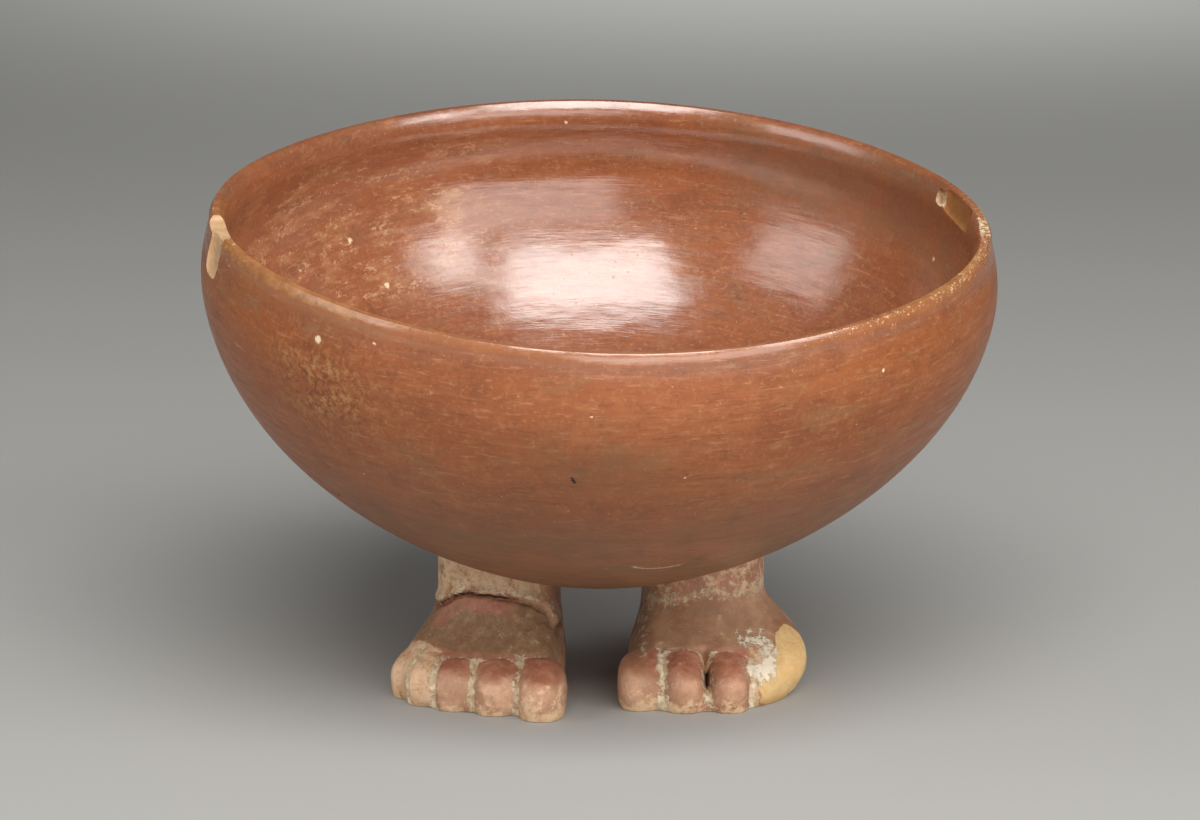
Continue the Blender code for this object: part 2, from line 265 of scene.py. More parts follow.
def points_of(mesh, what="co"):
    flat = np.empty(len(mesh.vertices) * 3)
    mesh.vertices.foreach_get(what, flat)
    return flat.reshape(-1, 3)


def normals_of(mesh):
    return points_of(mesh, "normal")


def put_points(mesh, points):
    mesh.vertices.foreach_set("co", points.ravel())
    mesh.update()


def moved(points, matrix):
    table = np.array(matrix)
    return points @ table[:3, :3].T + table[:3, 3]


# Helpers for objects

def add_object(name, mesh):
    made = bpy.data.objects.new(name, mesh)
    bpy.context.scene.collection.objects.link(made)
    return made


def finished(name, work):
    """An object of a bmesh, which is freed."""
    mesh = bpy.data.meshes.new(name)
    work.to_mesh(mesh)
    work.free()
    return add_object(name, mesh)


def with_faces_out(made):
    """Turns the faces of a closed mesh outwards."""
    work = bmesh.new()
    work.from_mesh(made.data)
    bmesh.ops.recalc_face_normals(work, faces=work.faces)
    work.to_mesh(made.data)
    work.free()


def drop(made):
    bpy.data.objects.remove(made)


def freeze(made):
    """Swaps an object for a plain mesh of what its modifiers show."""
    graph = bpy.context.evaluated_depsgraph_get()
    mesh = bpy.data.meshes.new_from_object(made.evaluated_get(graph))
    name = made.name
    drop(made)
    return add_object(name, mesh)


def combine(base, others, operation, solver):
    for other in others:
        step = base.modifiers.new(operation.lower(), "BOOLEAN")
        step.operation = operation
        step.object = other
        step.solver = solver
    bpy.context.view_layer.update()
    made = freeze(base)
    for other in others:
        drop(other)
    return made


def together(name, parts):
    """One mesh of several closed ones, not yet joined."""
    work = bmesh.new()
    for piece in parts:
        work.from_mesh(piece.data)
        drop(piece)
    return finished(name, work)


# The bowl

def outer_wall():
    start = LIP_THICKNESS / 2
    points = []
    for i in range(WALL_SAMPLES // 4):
        t = i / (WALL_SAMPLES // 4)
        radius = LIP_RADIUS + (BELLY_RADIUS - LIP_RADIUS) * math.sin(t * math.pi / 2)
        points.append((radius, -(start + (SHOULDER_DEPTH - start) * t)))
    for i in range(WALL_SAMPLES + 1):
        share = math.sin(math.pi / 2 * i / WALL_SAMPLES)
        base = max(0.0, 1.0 - share**BODY_DEPTH_POWER)
        radius = BELLY_RADIUS * base ** (1.0 / BODY_RADIUS_POWER)
        points.append((radius, -(SHOULDER_DEPTH + BODY_DEPTH * share)))
    return points


def wall_offset(share):
    points = outer_wall()
    deepest = SHOULDER_DEPTH + BODY_DEPTH
    shifted = []
    for i, (radius, height) in enumerate(points):
        before = points[max(0, i - 1)]
        after = points[min(len(points) - 1, i + 1)]
        run = Vector((after[0] - before[0], after[1] - before[1])).normalized()
        down = -height / deepest
        wall = LIP_THICKNESS + (WALL_THICKNESS - LIP_THICKNESS) * ease(down / LIP_WALL_END)
        wall += LIP_SWELL * fade(-height / LIP_SWELL_REACH)
        to_floor = (down - FLOOR_WALL_START) / (1.0 - FLOOR_WALL_START)
        wall += (FLOOR_THICKNESS - WALL_THICKNESS) * ease(to_floor)
        if i == len(points) - 1:
            run = Vector((-1.0, 0.0))
        inwards = Vector((run.y, -run.x))
        place = Vector((radius, height)) + inwards * wall * share
        shifted.append((max(0.0, place.x), place.y))
    return shifted


def lip_arc(inner_wall, outer_line):
    """The lip's section: a long soft round on the inside, a short one on the outside."""
    crest = outer_line[0][0] - LIP_CREST_SETBACK
    start = float(np.interp(LIP_INNER_ROUND, [-z for _, z in inner_wall], [r for r, _ in inner_wall]))
    points = []
    for i in range(WALL_SAMPLES + 1):
        angle = math.pi * (1.0 - i / WALL_SAMPLES)
        across, down = LIP_CREST_SETBACK, LIP_OUTER_ROUND
        if angle > math.pi / 2:
            across, down = crest - start, LIP_INNER_ROUND
        points.append((crest + across * math.cos(angle), down * (math.sin(angle) - 1.0)))
    return points[:-1]


def evenly(profile, count):
    """The same line with evenly spaced points."""
    line = np.array(profile)
    run = np.concatenate([[0.0], np.cumsum(np.linalg.norm(np.diff(line, axis=0), axis=1))])
    at = np.linspace(0.0, run[-1], count)
    return np.stack([np.interp(at, run, line[:, 0]), np.interp(at, run, line[:, 1])], axis=1)


def hand_shaped(points):
    angle = np.arctan2(points[:, 1], points[:, 0])
    rise = sum(c * np.cos(waves * angle) + s * np.sin(waves * angle) for waves, c, s in LIP_RISES)
    near_lip = fade(-points[:, 2] / LIP_RISE_REACH)
    stretch = 1.0 + OUT_OF_ROUND * np.cos(2.0 * (angle - OUT_OF_ROUND_TURN))
    return np.stack([points[:, 0] * stretch, points[:, 1] * stretch, points[:, 2] + rise * near_lip], axis=1)


def turned(name, profile, columns):
    """A closed shape turned round Z from a line that starts and ends on the axis."""
    inner = profile[1:-1]
    angle = np.arange(columns) * 2.0 * math.pi / columns
    grid = np.stack([
        inner[:, None, 0] * np.cos(angle), inner[:, None, 0] * np.sin(angle),
        np.broadcast_to(inner[:, None, 1], (len(inner), columns)),
    ], axis=2).reshape(-1, 3)
    first, last = len(grid), len(grid) + 1
    ends = [[0.0, 0.0, profile[0][1]], [0.0, 0.0, profile[-1][1]]]
    points = hand_shaped(np.concatenate([grid, ends]))
    faces = []
    rows = len(inner)
    for i in range(columns):
        j = (i + 1) % columns
        faces.append((first, i, j))
        faces.append((last, (rows - 1) * columns + j, (rows - 1) * columns + i))
        for row in range(rows - 1):
            a, b = row * columns, (row + 1) * columns
            faces.append((a + i, b + i, b + j, a + j))
    mesh = bpy.data.meshes.new(name)
    mesh.from_pydata(points.tolist(), [], faces)
    made = add_object(name, mesh)
    with_faces_out(made)
    return made


def bowl_turn():
    return Matrix.Rotation(FORWARD_TILT, 4, "X") @ Matrix.Rotation(SIDE_LEAN, 4, "Y")


# The feet

def rounded(angle, power):
    c, s = math.cos(angle), math.sin(angle)
    return math.copysign(abs(c) ** power, c), math.copysign(abs(s) ** power, s)


def outline(level, inner, outer, front, widest, back, corners, slant):
    ring = []
    for i in range(RING_POINTS):
        angle = 2.0 * math.pi * (i + 0.5) / RING_POINTS
        at_front = math.sin(angle) < 0
        corner = (corners[0] if math.cos(angle) > 0 else corners[1]) if at_front else corners[2]
        x, y = rounded(angle, corner)
        x *= inner if x > 0 else outer
        y *= (front - widest) if at_front else (back + widest)
        ring.append((x, y - widest - slant * x * max(0.0, -y) / front, level))
    return ring


def filled_in(rows):
    """The rows with smooth steps between them, on a curve through all of them."""

    def curve(a, b, c, d, t):
        square, cube = 2 * a - 5 * b + 4 * c - d, 3 * b - a - 3 * c + d
        return 0.5 * (2 * b + (c - a) * t + square * t**2 + cube * t**3)

    filled = []
    for i, (start, end) in enumerate(zip(rows, rows[1:])):
        before = rows[max(0, i - 1)]
        after = rows[min(len(rows) - 1, i + 2)]
        for step in range(LEVEL_STEPS):
            four = zip(before, start, end, after)
            filled.append(tuple(curve(*sizes, step / LEVEL_STEPS) for sizes in four))
    return filled + [rows[-1]]


def foot_rings(levels, outer_corner, slant, top):
    rings = []
    sole = (-SOLE_SINK,) + levels[0][1:]
    ankle = (ANKLE_HEIGHT, ANKLE_INNER, ANKLE_OUTER, ANKLE_FRONT, 0.0, ANKLE_BACK)
    toe_top = levels[TOE_TOP_LEVEL][0]
    for row in [sole] + filled_in(levels + (ankle,)):
        to_ankle = float(ease((row[0] - toe_top) / (ANKLE_HEIGHT - toe_top)))
        corners = [low + (ANKLE_CORNER - low) * to_ankle for low in (TOE_CORNER, outer_corner, ANKLE_CORNER)]
        rings.append(outline(*row, corners, slant * (1.0 - to_ankle)))
    rings.append(outline(top, *[size * LEG_WIDENING for size in ankle[1:]], [ANKLE_CORNER] * 3, 0.0))
    return rings


def loft(name, rings):
    work = bmesh.new()
    rows = [[work.verts.new(point) for point in ring] for ring in rings]
    count = len(rows[0])
    for lower, upper in zip(rows, rows[1:]):
        for i in range(count):
            j = (i + 1) % count
            work.faces.new((lower[i], lower[j], upper[j], upper[i]))
    work.faces.new(rows[0])
    work.faces.new(rows[-1])
    bmesh.ops.recalc_face_normals(work, faces=work.faces)
    return finished(name, work)


def soft_block(name, size, matrix, squareness, segments, rings):
    work = bmesh.new()
    bmesh.ops.create_uvsphere(work, u_segments=segments, v_segments=rings, radius=1.0)
    for vert in work.verts:
        vert.co = Vector(
            math.copysign(abs(part) ** squareness, part) * full / 2 for part, full in zip(vert.co, size)
        )
    work.transform(matrix)
    return finished(name, work)


def toe(name, across, reach, width, length, height, turn):
    matrix = Matrix.Translation((across, -(reach - length / 2), height / 2 - SOLE_SINK / 2))
    matrix = matrix @ Matrix.Rotation(math.radians(-turn), 4, "Z") @ Matrix.Rotation(TOE_SLOPE, 4, "X")
    size = (width, length, height + SOLE_SINK)
    return soft_block(name, size, matrix, TOE_SQUARENESS, TOE_SEGMENTS, TOE_RINGS)


def cut_level(made):
    """Cuts a closed mesh off at the ground and closes it with a flat sole."""
    work = bmesh.new()
    work.from_mesh(made.data)
    geometry = list(work.verts) + list(work.edges) + list(work.faces)
    cut = bmesh.ops.bisect_plane(
        work, geom=geometry, dist=WELD, plane_co=(0, 0, 0), plane_no=(0, 0, 1), clear_inner=True
    )
    rim = [edge for edge in cut["geom_cut"] if isinstance(edge, bmesh.types.BMEdge)]
    bmesh.ops.edgenet_fill(work, edges=rim)
    bmesh.ops.recalc_face_normals(work, faces=work.faces)
    work.to_mesh(made.data)
    work.free()


# Grooves of a foot in its own frame: place across and reach where each starts and ends, its half
# width and its depth. Then the folds at the toes' roots: middle, half width, reach and bend. The
# roots are places across with the reach of the toes' start there
LEFT_GROOVES = (
    (0.0064, 0.0178, 0.0066, 0.0285, 0.00045, 0.0007),
    (-0.0014, 0.0182, -0.0014, 0.0268, 0.00045, 0.0007),
    (-0.0078, 0.0172, -0.0084, 0.0240, 0.00040, 0.0006),
    (-0.0112, 0.0150, -0.0130, 0.0205, 0.00035, 0.0005),
)
RIGHT_GROOVES = (
    (0.0086, 0.0160, 0.0090, 0.0262, 0.00055, 0.0005),
    (0.0010, 0.0174, 0.0011, 0.0272, 0.00060, 0.0026),
    (-0.0068, 0.0178, -0.0066, 0.0262, 0.00040, 0.0006),
)
LEFT_FOLDS = (
    (0.0106, 0.0043, 0.0184, 0.0010),
    (0.0023, 0.0038, 0.0192, 0.0010),
    (-0.0050, 0.0036, 0.0186, 0.0010),
)
RIGHT_FOLDS = (
    (0.0050, 0.0038, 0.0176, 0.0012),
    (-0.0028, 0.0037, 0.0180, 0.0012),
)
LEFT_ROOTS = (
    (-0.0150, -0.0125, -0.0090, -0.0050, 0.0128),
    (0.0105, 0.0128, 0.0160, 0.0180, 0.0186),
)
RIGHT_ROOTS = ((-0.0140, -0.0060, 0.0060, 0.0128), (0.0150, 0.0176, 0.0178, 0.0166))
FOLD_HALF_WIDTH = 0.00032
FOLD_DEPTH = 0.00035
GROOVE_DEPTH_AT_SOLE = 0.0007

# The crack round the left ankle: places across and heights along it, its size and its raised edge
CRACK_ACROSS = (-0.0125, -0.0092, -0.0063, -0.0034, 0.0019, 0.0071, 0.0097, 0.0111, 0.0125)
CRACK_HEIGHT = (0.0136, 0.0147, 0.0168, 0.0175, 0.0171, 0.0159, 0.0144, 0.0123, 0.0095)
CRACK_DEPTH = 0.0011
CRACK_HALF_WIDTH = 0.00032
CRACK_WOBBLE = 0.00035
CRACK_EDGE = 0.00030
CRACK_EDGE_ABOVE = 0.0009
CRACK_EDGE_HALF_WIDTH = 0.0008


def groove_shares(x, reach, grooves):
    """For each point, its depth in the nearest groove in metres, and how near it is, from 0 to 1."""
    depth = np.zeros(len(x))
    near = np.zeros(len(x))
    for x0, reach0, x1, reach1, half, deep in grooves:
        t = (reach - reach0) / (reach1 - reach0)
        aside = (x - (x0 + (x1 - x0) * np.clip(t, 0.0, 1.2))) / half
        along = ease(t, -0.04, 0.10)
        depth = np.maximum(depth, deep * (bell(aside, 1.0) * along))
        near = np.maximum(near, bell(aside, 2.2) * along)
    return depth, near


def fold_share(x, reach, folds):
    near = np.zeros(len(x))
    for middle, half, back, bend in folds:
        u = (x - middle) / half
        share = bell(reach - (back + bend * u**2), FOLD_HALF_WIDTH)
        near = np.maximum(near, share * fade(np.abs(u), 0.85, 1.1))
    return near


def crack_distance(points):
    """Height above the crack of points in the left foot's frame, in metres."""
    across = points[:, 0]
    wobble = CRACK_WOBBLE * rough(np.stack([across, across * 0.0, across * 0.0], axis=1), 0.0022, SEED + 5)
    return points[:, 2] - np.interp(across, CRACK_ACROSS, CRACK_HEIGHT) - wobble


def detailed_foot(made, side):
    """Presses the toes' grooves, the folds at their roots and the ankle's crack into a foot."""
    mesh = made.data
    points = points_of(mesh)
    normals = normals_of(mesh)
    x, reach, height = points[:, 0], -points[:, 1], points[:, 2]
    grooves, folds = (LEFT_GROOVES, LEFT_FOLDS) if side < 0 else (RIGHT_GROOVES, RIGHT_FOLDS)
    off_sole = ease(height, 0.0002, 0.0012)
    depth, _ = groove_shares(x, reach, grooves)
    deeper = (depth - GROOVE_DEPTH_AT_SOLE) * ease(height, 0.0022, 0.0042)
    depth = np.where(depth > GROOVE_DEPTH_AT_SOLE, GROOVE_DEPTH_AT_SOLE + deeper, depth)
    depth += FOLD_DEPTH * fold_share(x, reach, folds) * (height > 0.004)
    if side < 0:
        above = crack_distance(points)
        at_front = ease(reach, 0.0, 0.003)
        depth += CRACK_DEPTH * bell(above, CRACK_HALF_WIDTH) * at_front
        depth -= CRACK_EDGE * bell(above - CRACK_EDGE_ABOVE, CRACK_EDGE_HALF_WIDTH) * at_front
    for amount, size, step in FOOT_UNEVENNESS:
        depth += amount * rough(points, size, SEED + step + side)
    put_points(mesh, points - normals * (depth * off_sole)[:, None])


def foot(name, levels, outer_corner, slant, toes, side, top, core, stand):
    leg = loft(f"{name}_leg", foot_rings(levels, outer_corner, slant, top))
    inside = core.copy()
    inside.data = core.data.copy()
    bpy.context.scene.collection.objects.link(inside)
    inside.data.transform(stand.inverted())
    if side > 0:
        inside.data.flip_normals()
    leg = combine(leg, [inside], "DIFFERENCE", "EXACT")
    parts = [toe(f"{name}_toe_{i + 1}", *sizes) for i, sizes in enumerate(toes)]
    made = together(name, [leg] + parts)
    remesh = made.modifiers.new("remesh", "REMESH")
    remesh.mode = "VOXEL"
    remesh.voxel_size = FOOT_VOXEL
    smooth = made.modifiers.new("smooth", "SMOOTH")
    smooth.factor = 0.5
    smooth.iterations = FOOT_SMOOTHING
    made = freeze(made)
    cut_level(made)
    detailed_foot(made, side)
    made.data.transform(stand)
    if side > 0:
        made.data.flip_normals()
    return made


# Building the piece

def chip_place(name, place):
    angle, offset, depth, _, lean = CHIPS[name]
    angle, lean = math.radians(angle), math.radians(lean)
    middle = LIP_RADIUS - LIP_THICKNESS / 2
    spot = hand_shaped(np.array([[middle * math.cos(angle), middle * math.sin(angle), 0.0]]))[0]
    spot = Vector(spot) + Vector((math.cos(angle), math.sin(angle), 0.0)) * offset
    spot.z -= depth
    place = place @ Matrix.Translation(spot) @ Matrix.Rotation(angle + math.pi / 2, 4, "Z")
    return place @ Matrix.Rotation(lean, 4, "X")


def chip_cutter(name, place, seed):
    matrix = chip_place(name, place)
    made = soft_block(name, CHIPS[name][3], matrix, CHIP_SQUARENESS, CHIP_SEGMENTS, CHIP_RINGS)
    points = points_of(made.data)
    normals = normals_of(made.data)
    out = BREAK_UNEVENNESS * rough(points, BREAK_GRAIN, seed)
    put_points(made.data, points + normals * out[:, None])
    return made


inner_wall = wall_offset(1.0)
inner_line = [point for point in reversed(inner_wall) if point[1] < -LIP_INNER_ROUND - 0.0001]
outer_line = [point for point in outer_wall() if point[1] < -LIP_OUTER_ROUND]
shell_line = evenly(inner_line + lip_arc(inner_wall, outer_line) + outer_line, BOWL_ROWS)
shell_line[0, 0] = shell_line[-1, 0] = 0.0
piece = turned("footed_bowl_ware", shell_line, BOWL_COLUMNS)
middle_wall = wall_offset(0.5)
core_line = np.array([(0.0, middle_wall[0][1])] + middle_wall)
core_line[-1, 0] = 0.0
core = turned("middle_of_wall", core_line, CORE_COLUMNS)

lean = bowl_turn()
lift = GROUND_CLEARANCE - float(moved(points_of(piece.data), lean)[:, 2].min())
BOWL_PLACE = Matrix.Translation((0.0, 0.0, lift)) @ lean
piece.data.transform(BOWL_PLACE)
core.data.transform(BOWL_PLACE)

STANDS = {}
feet = []
left_shape = LEFT_FOOT_LEVELS, LEFT_OUTER_CORNER, LEFT_TOE_SLANT, LEFT_TOES
right_shape = RIGHT_FOOT_LEVELS, RIGHT_OUTER_CORNER, RIGHT_TOE_SLANT, RIGHT_TOES
for name, shape, side, turn, forward in (
    ("left_foot", left_shape, -1.0, LEFT_FOOT_TURN, LEFT_FOOT_FORWARD),
    ("right_foot", right_shape, 1.0, RIGHT_FOOT_TURN, 0.0),
):
    stand = Matrix.Translation((side * ANKLE_SPREAD / 2, ANKLE_SETBACK - forward, 0.0))
    stand = stand @ Matrix.Rotation(side * turn, 4, "Z") @ Matrix.Diagonal((-side, 1.0, 1.0, 1.0))
    STANDS[side] = stand
    feet.append(foot(name, *shape, side, lift - SHOULDER_DEPTH, core, stand))
drop(core)

# Where the wall stands in the frame: the part's own middle, taken from the even bowl
even = points_of(piece.data)
FRAME_SHIFT = Matrix.Translation((
    -(even[:, 0].min() + even[:, 0].max()) / 2, -(even[:, 1].min() + even[:, 1].max()) / 2, 0.0,
))

# Hand-built unevenness of the wall, always towards the inside of the clay
normals = normals_of(piece.data)
from_lip = -moved(even, BOWL_PLACE.inverted())[:, 2]
uneven = WALL_UNEVENNESS * rough(even, WALL_UNEVENNESS_SIZE, SEED + 21, 2) - WALL_SINK
uneven *= 0.35 + 0.65 * ease(from_lip, 0.001, 0.012)
put_points(piece.data, even + normals * uneven[:, None])

piece = combine(piece, feet, "UNION", "MANIFOLD")
slip = bpy.data.materials.new("polished_red_clay")
broken = bpy.data.materials.new("broken_clay")
cutters = [chip_cutter(name, BOWL_PLACE, SEED + 31 + i) for i, name in enumerate(CHIPS)]
for made in [piece] + cutters:
    made.data.materials.clear()
    made.data.materials.append(slip)
    made.data.materials.append(broken)
for cutter in cutters:
    cutter.data.polygons.foreach_set("material_index", np.ones(len(cutter.data.polygons), dtype=np.int32))
piece = combine(piece, cutters, "DIFFERENCE", "EXACT")
piece.data.transform(FRAME_SHIFT)
placed = points_of(piece.data)
placed[:, 2] = np.maximum(placed[:, 2], 0.0)
put_points(piece.data, placed)
piece.name = piece.data.name = "footed_bowl_ware"
piece.data.set_sharp_from_angle(angle=SHARP_EDGE)
piece.data.polygons.foreach_set("use_smooth", np.ones(len(piece.data.polygons), dtype=bool))


# Where the surface is worn, scratched, stained or filled, and where shade and light are painted: angles in
# degrees, lengths in metres
def at_marks(across, reach, height, marks, spread):
    """1 near a line of places, falling off over spread."""
    here = np.stack([across, reach, height], axis=1)
    places = np.array(marks)
    nearest = np.full(len(here), 1.0)
    for start, end in zip(places, places[1:]):
        run = end - start
        t = np.clip((here - start) @ run / (run @ run), 0.0, 1.0)
        nearest = np.minimum(nearest, np.linalg.norm(here - start - t[:, None] * run, axis=1))
    return bell(nearest, spread)


points = points_of(piece.data)
on_bowl = moved(points, (FRAME_SHIFT @ BOWL_PLACE).inverted())
turn = np.degrees(np.arctan2(on_bowl[:, 1], on_bowl[:, 0]))
radius = np.hypot(on_bowl[:, 0], on_bowl[:, 1])
deep = -on_bowl[:, 2]
from_centre = np.arctan2(radius, -(on_bowl[:, 2] + SHOULDER_DEPTH))
middle, outer_face = np.array(middle_wall), np.array(outer_wall())
in_middle = np.interp(deep, -middle[:, 1], middle[:, 0])
at_wall = np.interp(deep, -outer_face[:, 1], outer_face[:, 0])
inside = ((radius < in_middle) & (deep < -middle[-1, 1]) & (points[:, 2] > UNDER_HOLLOW)).astype(float)
nearest_axis = np.minimum(1.0, radius / BURNISH_MIDDLE)
marks = {name: np.zeros(len(points)) for name in (
    "crust", "bare", "red", "ochre", "plaster", "painted_shade", "foot", "painted_toe_highlight",
)}
marks["inside"] = inside
outside = 1.0 - inside
worn_left = window(turn, -166.0, -140.0, 40.0)
worn_right = window(turn, -50.0, 12.0, 30.0)
band = 0.00034 + 0.00028 * worn_left + 0.00020 * worn_right
at_lip = fade((deep + 0.0002 * rough(points, 0.006, SEED + 51)) / band, 0.2, 1.0)
marks["wear"] = at_lip * (0.24 + 0.40 * worn_left + 0.30 * worn_right)
# Painted highlight: a lighter band on the outside just under the lip, where the light catches the lip's
# shoulder
marks["painted_lip_sheen"] = outside * window(turn, -150.0, 4.0, 20.0) * fade(deep, 0.0011, 0.0030)
marks["glossy"] = np.maximum(inside, fade(deep, 0.0030, 0.0060))
# Pale crusty flecks along the lip; the material brightens them so that they also stand in for painted glints
marks["flecks"] = np.maximum(
    window(turn, -58.0, 14.0, 12.0) * fade(deep, 0.0002, 0.0034) * (0.45 + 0.55 * outside),
    0.75 * window(turn, -176.0, -152.0, 6.0) * fade(deep, 0.001, 0.006) * outside,
)
marks["scuff"] = inside * window(turn, 113.0, 160.0, 10.0) * window(deep, 0.009, 0.029, 0.006)
marks["grains"] = outside * bell(turn + 131.0, 9.0) * bell(deep - 0.0135, 0.0075)
low = outside * ease(deep, 0.018, 0.046)
marks["smoke"] = np.clip(
    0.75 * low * window(turn, -125.0, -50.0, 30.0)
    + 0.70 * outside * bell(turn + 91.0, 10.0) * bell(deep - 0.0198, 0.006)
    + 0.70 * inside * window(turn, 20.0, 62.0, 14.0) * window(deep, 0.004, 0.014, 0.006)
    + 0.35 * inside * window(turn, -30.0, 12.0, 18.0) * window(deep, 0.004, 0.026, 0.008),
    0.0, 1.0,
)


def mark(name, value):
    """Raises a mark to a value where it is lower, on the foot in hand, whose points are mine."""
    marks[name] = np.maximum(marks[name], mine * value)


for side, grooves, folds in ((-1.0, LEFT_GROOVES, LEFT_FOLDS), (1.0, RIGHT_GROOVES, RIGHT_FOLDS)):
    local = moved(points, (FRAME_SHIFT @ STANDS[side]).inverted())
    x, reach, height = local[:, 0], -local[:, 1], local[:, 2]
    here = (np.abs(x) < FOOT_HALF_WIDTH) & (points[:, 0] * side > -FOOT_PAST_MIDDLE)
    here &= (outside > 0.5) & (from_centre < FOOT_CONE) & (radius < FOOT_RADIUS)
    here &= height < GROUND_CLEARANCE + FOOT_ABOVE_CLEARANCE
    here &= (deep > SHOULDER_DEPTH + BODY_DEPTH) | (radius > at_wall + FOOT_OFF_WALL)
    mine = here.astype(float)
    noise = rough(local, 0.0026, SEED + 61)
    fine = rough(local, 0.0009, SEED + 67)
    _, near = groove_shares(x, reach, grooves)
    roots = np.interp(x, *(LEFT_ROOTS if side < 0 else RIGHT_ROOTS)) + 0.0006 * noise
    on_toes = ease(reach - roots, -0.0008, 0.0010)
    fold = fold_share(x, reach, folds) * (height > 0.004)
    crust = np.clip(near * (0.75 + 0.5 * noise) + 0.75 * fold * (0.8 + 0.5 * fine), 0.0, 1.0)
    low_edge = on_toes * fade(height + 0.0012 * noise, 0.0004, 0.0030)
    tips = ease(reach + 0.0014 * noise, 0.0215, 0.0262) * fade(height, 0.0035, 0.0080)
    big_toe = ease(x, 0.0055, 0.0085)
    mark("foot", 1.0)
    marks["smoke"] *= 1.0 - mine
    mark("bare", np.clip(0.08 + 0.42 * low_edge + tips * (0.10 + 0.26 * big_toe), 0.0, 1.0))
    toe_top = on_toes * (0.42 + 0.58 * ease(height + 0.001 * noise, 0.0050, 0.0088))
    # Painted highlight: the toes' fronts at mid height are lightened where the light catches them, less on
    # the right foot
    painted_toe_highlight = on_toes * window(height + 0.0008 * noise, 0.0022, 0.0056, 0.0016) * (1.0 - 0.7 * near)
    mark("painted_toe_highlight", painted_toe_highlight * (1.0 if side < 0 else 0.35))
    heel = fade(reach + 0.002 * noise, -0.004, 0.002)
    mark("red", heel * 0.75)
    if side < 0:
        outer = ease(-x, 0.0068, 0.0098) * on_toes
        mark("bare", outer * 0.80)
        mark("red", toe_top * (1.0 - outer))
        above = crack_distance(local)
        front = ease(reach, 0.0, 0.004)
        # Painted shade in the crack, less towards the foot's inner side
        gap = bell(above - 0.0001, 0.00040) * front
        mark("painted_shade", gap * (0.92 - 0.46 * ease(x, 0.0010, 0.0060)))
        over = ease(above + 0.0006 * noise, 0.0003, 0.0011) * front
        over *= fade(x + 0.0006 * noise, 0.0078, 0.0096)
        mark("bare", over * (0.72 + 0.38 * noise))
        mark("crust", over * (0.20 + 0.2 * fine))
        # Painted shade: the left leg's inner side, which lies in shadow, is darkened
        inner_side = ease(x, 0.0084, 0.0104) * fade(reach, 0.004, 0.010)
        mark("painted_shade", inner_side * 0.46)
        mark("red", np.maximum(over * 0.30, 0.9 * inner_side))
        mark("crust", bell(above - 0.0012, 0.0012) * front * (0.42 + 0.3 * fine))
        below = window(above + 0.0006 * noise, -0.0024, -0.0006, 0.0009) * front
        below *= window(x + 0.0018 * noise, -0.0082, 0.0026, 0.0028)
        mark("red", below * (0.85 + 0.5 * noise))
        instep = window(height, 0.0080, 0.0160, 0.001) * ease(reach, 0.002, 0.008)
        instep *= (1.0 - 0.9 * below) * fade(above, -0.0010, 0.0004) * (1.0 - on_toes)
        mark("smoke", instep)
    else:
        band_height = np.interp(x, (-0.0110, 0.0012, 0.0110), (0.0172, 0.0176, 0.0154))
        band = bell(height - band_height - 0.0008 * noise, 0.0015)
        band *= ease(reach, -0.002, 0.003)
        crust = np.maximum(crust, band * (0.46 + 0.22 * noise))
        mark("bare", band * 0.50)
        at_top = ease(height, 0.0150, 0.0185)
        mark("red", at_top * 0.62)
        mark("bare", at_top * (0.46 + 0.25 * noise))
        seam_across = np.interp(height, (0.0086, 0.0110, 0.0150), (0.0117, 0.0118, 0.0102))
        seam = bell(x - seam_across, 0.0007) * window(height, 0.0086, 0.0160, 0.001)
        seam *= ease(reach, 0.002, 0.004)
        crust = np.maximum(crust, seam * (0.50 + 0.3 * fine))
        toe_top *= 1.0 - 0.7 * ease(-x, 0.0060, 0.0085)
        toe_top *= 1.0 - 0.45 * ease(x, 0.0095, 0.0125)
        mark("red", toe_top)
        lump = ease(-x + 0.0011 * noise + 0.40 * (reach - 0.0180), 0.0098, 0.0112)
        lump = np.maximum(lump, ease(-x + 0.3 * (reach - 0.012), 0.0125, 0.0135))
        lump *= ease(reach, 0.0085, 0.0105)
        lump *= fade(height - 0.35 * (-x - 0.0060), 0.0090, 0.0100)
        fill = at_marks(x, reach, height, (
            (-0.0064, 0.0158, 0.0102), (-0.0091, 0.0150, 0.0100), (-0.0104, 0.0180, 0.0085),
            (-0.0093, 0.0221, 0.0060), (-0.0067, 0.0215, 0.0070)), 0.0019)
        mark("ochre", lump)
        tan = ease(-x + 0.0006 * noise, 0.0056, 0.0072)
        tan *= ease(reach, 0.0150, 0.0175)
        tan *= 1.0 - lump
        mark("bare", tan * 0.78)
        marks["red"] *= 1.0 - mine * tan
        mark("plaster", np.clip(fill * (0.72 + 0.25 * noise), 0.0, 1.0))
        # Painted shade: the deep slit between the right foot's second and third toes
        slit = bell(x - 0.0010, 0.00055) * ease(reach, 0.0188, 0.0202)
        slit *= ease(height, 0.0026, 0.0042)
        mark("painted_shade", slit * 0.9)
        crust = crust * (1.0 - slit)
        instep = window(height, 0.0080, 0.0148, 0.001) * ease(reach, 0.000, 0.008) * (1.0 - on_toes)
        mark("smoke", instep * 0.45)
    mark("crust", np.clip(crust, 0.0, 1.0))
for name, values in marks.items():
    layer = piece.data.attributes.new(name, "FLOAT", "POINT")
    layer.data.foreach_set("value", np.clip(values, 0.0, 1.0).astype(np.float32))
angle = np.radians(turn)
run = np.stack([np.cos(angle) * nearest_axis, np.sin(angle) * nearest_axis, from_centre], axis=1)
layer = piece.data.attributes.new("burnish", "FLOAT_VECTOR", "POINT")
layer.data.foreach_set("vector", run.astype(np.float32).ravel())


